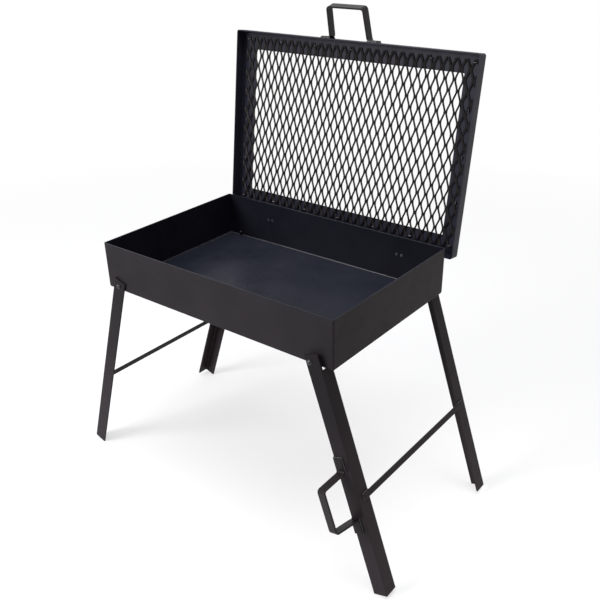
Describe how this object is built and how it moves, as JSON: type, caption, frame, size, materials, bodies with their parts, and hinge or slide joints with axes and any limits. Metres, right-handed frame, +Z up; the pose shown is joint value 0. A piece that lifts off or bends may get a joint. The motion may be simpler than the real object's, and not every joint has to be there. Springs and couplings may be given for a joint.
{
  "type": "portable folding grill",
  "caption": "Portable charcoal grill: a steel tray on folding angle legs, with a hinged lid that frames an expanded metal grate and strap handles to carry it by.",
  "frame": {"origin": "on the ground under the middle of the whole grill's outer box, with the lid open and the legs down", "axes": "+Z up, -Y to the grill's front, -X to its left end; the lid's hinge line lies along X at the back"},
  "size_m": [0.7078, 0.4534, 0.8145],
  "materials": {
    "tray_paint": "satin black heat-resistant paint on sheet steel",
    "lid_paint": "satin black heat-resistant paint on sheet steel",
    "mesh_paint": "satin black paint on expanded steel",
    "leg_paint": "satin black paint on steel angle and bar",
    "handle_paint": "smooth black paint on bent steel strap",
    "bolt_finish": "painted over, worn to the steel on the heads",
    "hinge_finish": "painted steel hinge"
  },
  "bodies": {
    "tray": {"tray": "tray_paint", "front_left_bolt": "bolt_finish", "front_left_nut": "bolt_finish", "rear_left_bolt": "bolt_finish", "rear_left_nut": "bolt_finish", "front_right_bolt": "bolt_finish", "front_right_nut": "bolt_finish", "rear_right_bolt": "bolt_finish", "rear_right_nut": "bolt_finish", "front_right_spacer": "bolt_finish", "rear_right_spacer": "bolt_finish", "left_tray_leaf": "hinge_finish", "left_hinge_pin": "hinge_finish", "left_lid_stop": "tray_paint", "left_tray_rivet_1": "hinge_finish", "left_tray_rivet_2": "hinge_finish", "right_tray_leaf": "hinge_finish", "right_hinge_pin": "hinge_finish", "right_lid_stop": "tray_paint", "right_tray_rivet_1": "hinge_finish", "right_tray_rivet_2": "hinge_finish"},
    "lid": {"lid_frame": "lid_paint", "lid_mesh": "mesh_paint", "lid_handle": "handle_paint", "left_lid_leaf": "hinge_finish", "left_lid_rivet_1": "hinge_finish", "left_lid_rivet_2": "hinge_finish", "right_lid_leaf": "hinge_finish", "right_lid_rivet_1": "hinge_finish", "right_lid_rivet_2": "hinge_finish"},
    "left_legs": {"left_brace": "leg_paint", "front_left_leg": "leg_paint", "rear_left_leg": "leg_paint"},
    "right_legs": {"right_brace": "leg_paint", "leg_handle": "handle_paint", "front_right_leg": "leg_paint", "rear_right_leg": "leg_paint"}
  },
  "joints": [
    {"name": "lid_hinge", "type": "hinge", "parent": "tray", "child": "lid", "pos_m": [-0.00016, 0.15803, 0.4317], "axis": [1, 0, 0], "range_deg": [0, 97.26]},
    {"name": "left_legs_fold", "type": "hinge", "parent": "tray", "child": "left_legs", "pos_m": [-0.21266, -0.00797, 0.3835], "axis": [0, -1, 0], "range_deg": [0, 108.9]},
    {"name": "right_legs_fold", "type": "hinge", "parent": "tray", "child": "right_legs", "pos_m": [0.20586, -0.00797, 0.3827], "axis": [0, 1, 0], "range_deg": [0, 108.9]}
  ]
}
